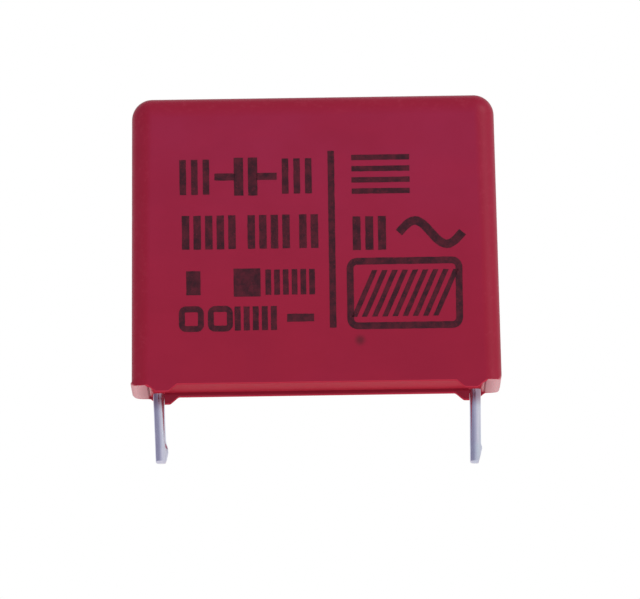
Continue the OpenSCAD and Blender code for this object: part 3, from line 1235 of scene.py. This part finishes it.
bpy.ops.mesh.primitive_circle_add(vertices=96, radius=0.4, fill_type="NGON")
floor = bpy.context.object
floor.name = "floor"
floor.location.z = solid_box[0].z - 0.05 * MM
sheet = Finish("pale_floor")
sheet.shader.inputs["Base Color"].default_value = (0.9, 0.9, 0.9, 1)
sheet.shader.inputs["Roughness"].default_value = 0.9
looked_at, _ = gaze(sheet)
glow = sheet.node("ShaderNodeEmission", None, {"Color": (1, 1, 1, 1), "Strength": 1.0})
lit = sheet.node(
    "ShaderNodeMixShader", None,
    {0: 0.3 + 0.5 * looked_at, 1: Term(sheet, sheet.shader.outputs[0]), 2: glow},
)
clear = sheet.node("ShaderNodeBsdfTransparent")
behind = sheet.node("ShaderNodeNewGeometry", output="Backfacing")
final = sheet.node("ShaderNodeMixShader", None, {0: behind, 1: lit, 2: clear})
sheet.tree.links.new(final.socket, sheet.tree.nodes["Material Output"].inputs["Surface"])
floor.data.materials.append(sheet.material)
print("floor at", round(floor.location.z / MM, 2), "mm")

# %% World
world = bpy.data.worlds.new("studio")
bpy.context.scene.world = world
world.use_nodes = True
sheet = Sheet(world.node_tree)
world.node_tree.nodes.clear()
looked_at, by_camera = gaze(sheet)
way = sheet.node("ShaderNodeTexCoord", output="Generated")
way_x, way_y, way_z = (sheet.part(way, axis) for axis in "XYZ")
rightward = sheet.step(way_x, -1.1, 1.1)
sides = (0.34 + 0.52 * rightward) * (1 - 0.75 * sheet.step(way_z, 0.2, 0.85))
away = sheet.step(way_y, 0.3, 0.85)
backdrop = sheet.node("ShaderNodeMath", {"operation": "MAXIMUM"}, {0: away, 1: by_camera})
tint = sheet.blend(rightward, (0.97, 0.94, 1.22, 1), (1, 1.01, 0.99, 1))
tint = sheet.blend(backdrop, tint, (1, 1, 1, 1))
above = 0.49 + 0.32 * sheet.step(way_z, 0.0, 1.0)
soft = sheet.node("ShaderNodeBackground", None, {"Color": (1, 1, 1, 1), "Strength": above})
shown = sides + (1 - sides) * backdrop
white = sheet.node("ShaderNodeBackground", None, {"Color": tint, "Strength": shown})
sky = sheet.node("ShaderNodeMixShader", None, {0: looked_at, 1: soft, 2: white})
output = world.node_tree.nodes.new("ShaderNodeOutputWorld")
world.node_tree.links.new(sky.socket, output.inputs["Surface"])

# %% Lamps
LIT_POINT = (0, 0, 10 * MM)


def lamp(name, place, size, power, mirrored):
    """A square soft lamp that faces the object's middle, and may show in reflections."""
    data = bpy.data.lights.new(name, "AREA")
    data.size, data.energy = size, power
    made = set_up(name, data)
    made.location = place
    ahead = Vector(LIT_POINT) - Vector(place)
    made.rotation_euler = ahead.to_track_quat("-Z", "Y").to_euler()
    made.visible_glossy = mirrored
    return made


lamp("key", (0.4, -0.24, 0.26), 0.3, 1.05, True)
lamp("fill", (-0.4, -0.3, 0.06), 0.35, 0.3, False)
print("two lamps and a sky")

# %% [markdown]
# ## Camera
#
# The object is seen nearly square on, from a few degrees below the horizontal, through
# a long lens, so its edges stay almost parallel. It also stands turned by less than a
# degree in the view, which is a roll of the camera.

# %% Place the camera
DISTANCE = 850.0
SCALE = 14.05
WIDE = 640
TURN = math.radians(0.0)
TILT = math.radians(-5.75)
ROLL = math.radians(-0.85)
AIM = Vector((0.319, 0.0, 6.87)) * MM
camera_data = bpy.data.cameras.new("camera")
camera = set_up("camera", camera_data)
camera_data.sensor_width = 36.0
camera_data.lens = SCALE * DISTANCE * camera_data.sensor_width / WIDE
away = Vector((math.sin(TURN) * math.cos(TILT), -math.cos(TURN) * math.cos(TILT), math.sin(TILT)))
camera.location = AIM + away * DISTANCE * MM
camera.rotation_mode = "QUATERNION"
camera.rotation_quaternion = (-away).to_track_quat("-Z", "Y") @ Euler((0, 0, ROLL)).to_quaternion()
camera_data.clip_start, camera_data.clip_end = 0.05, 10.0
bpy.context.scene.camera = camera
bpy.context.scene.view_settings.view_transform = "Standard"
print("lens", round(camera_data.lens, 1), "mm at", DISTANCE, "mm")
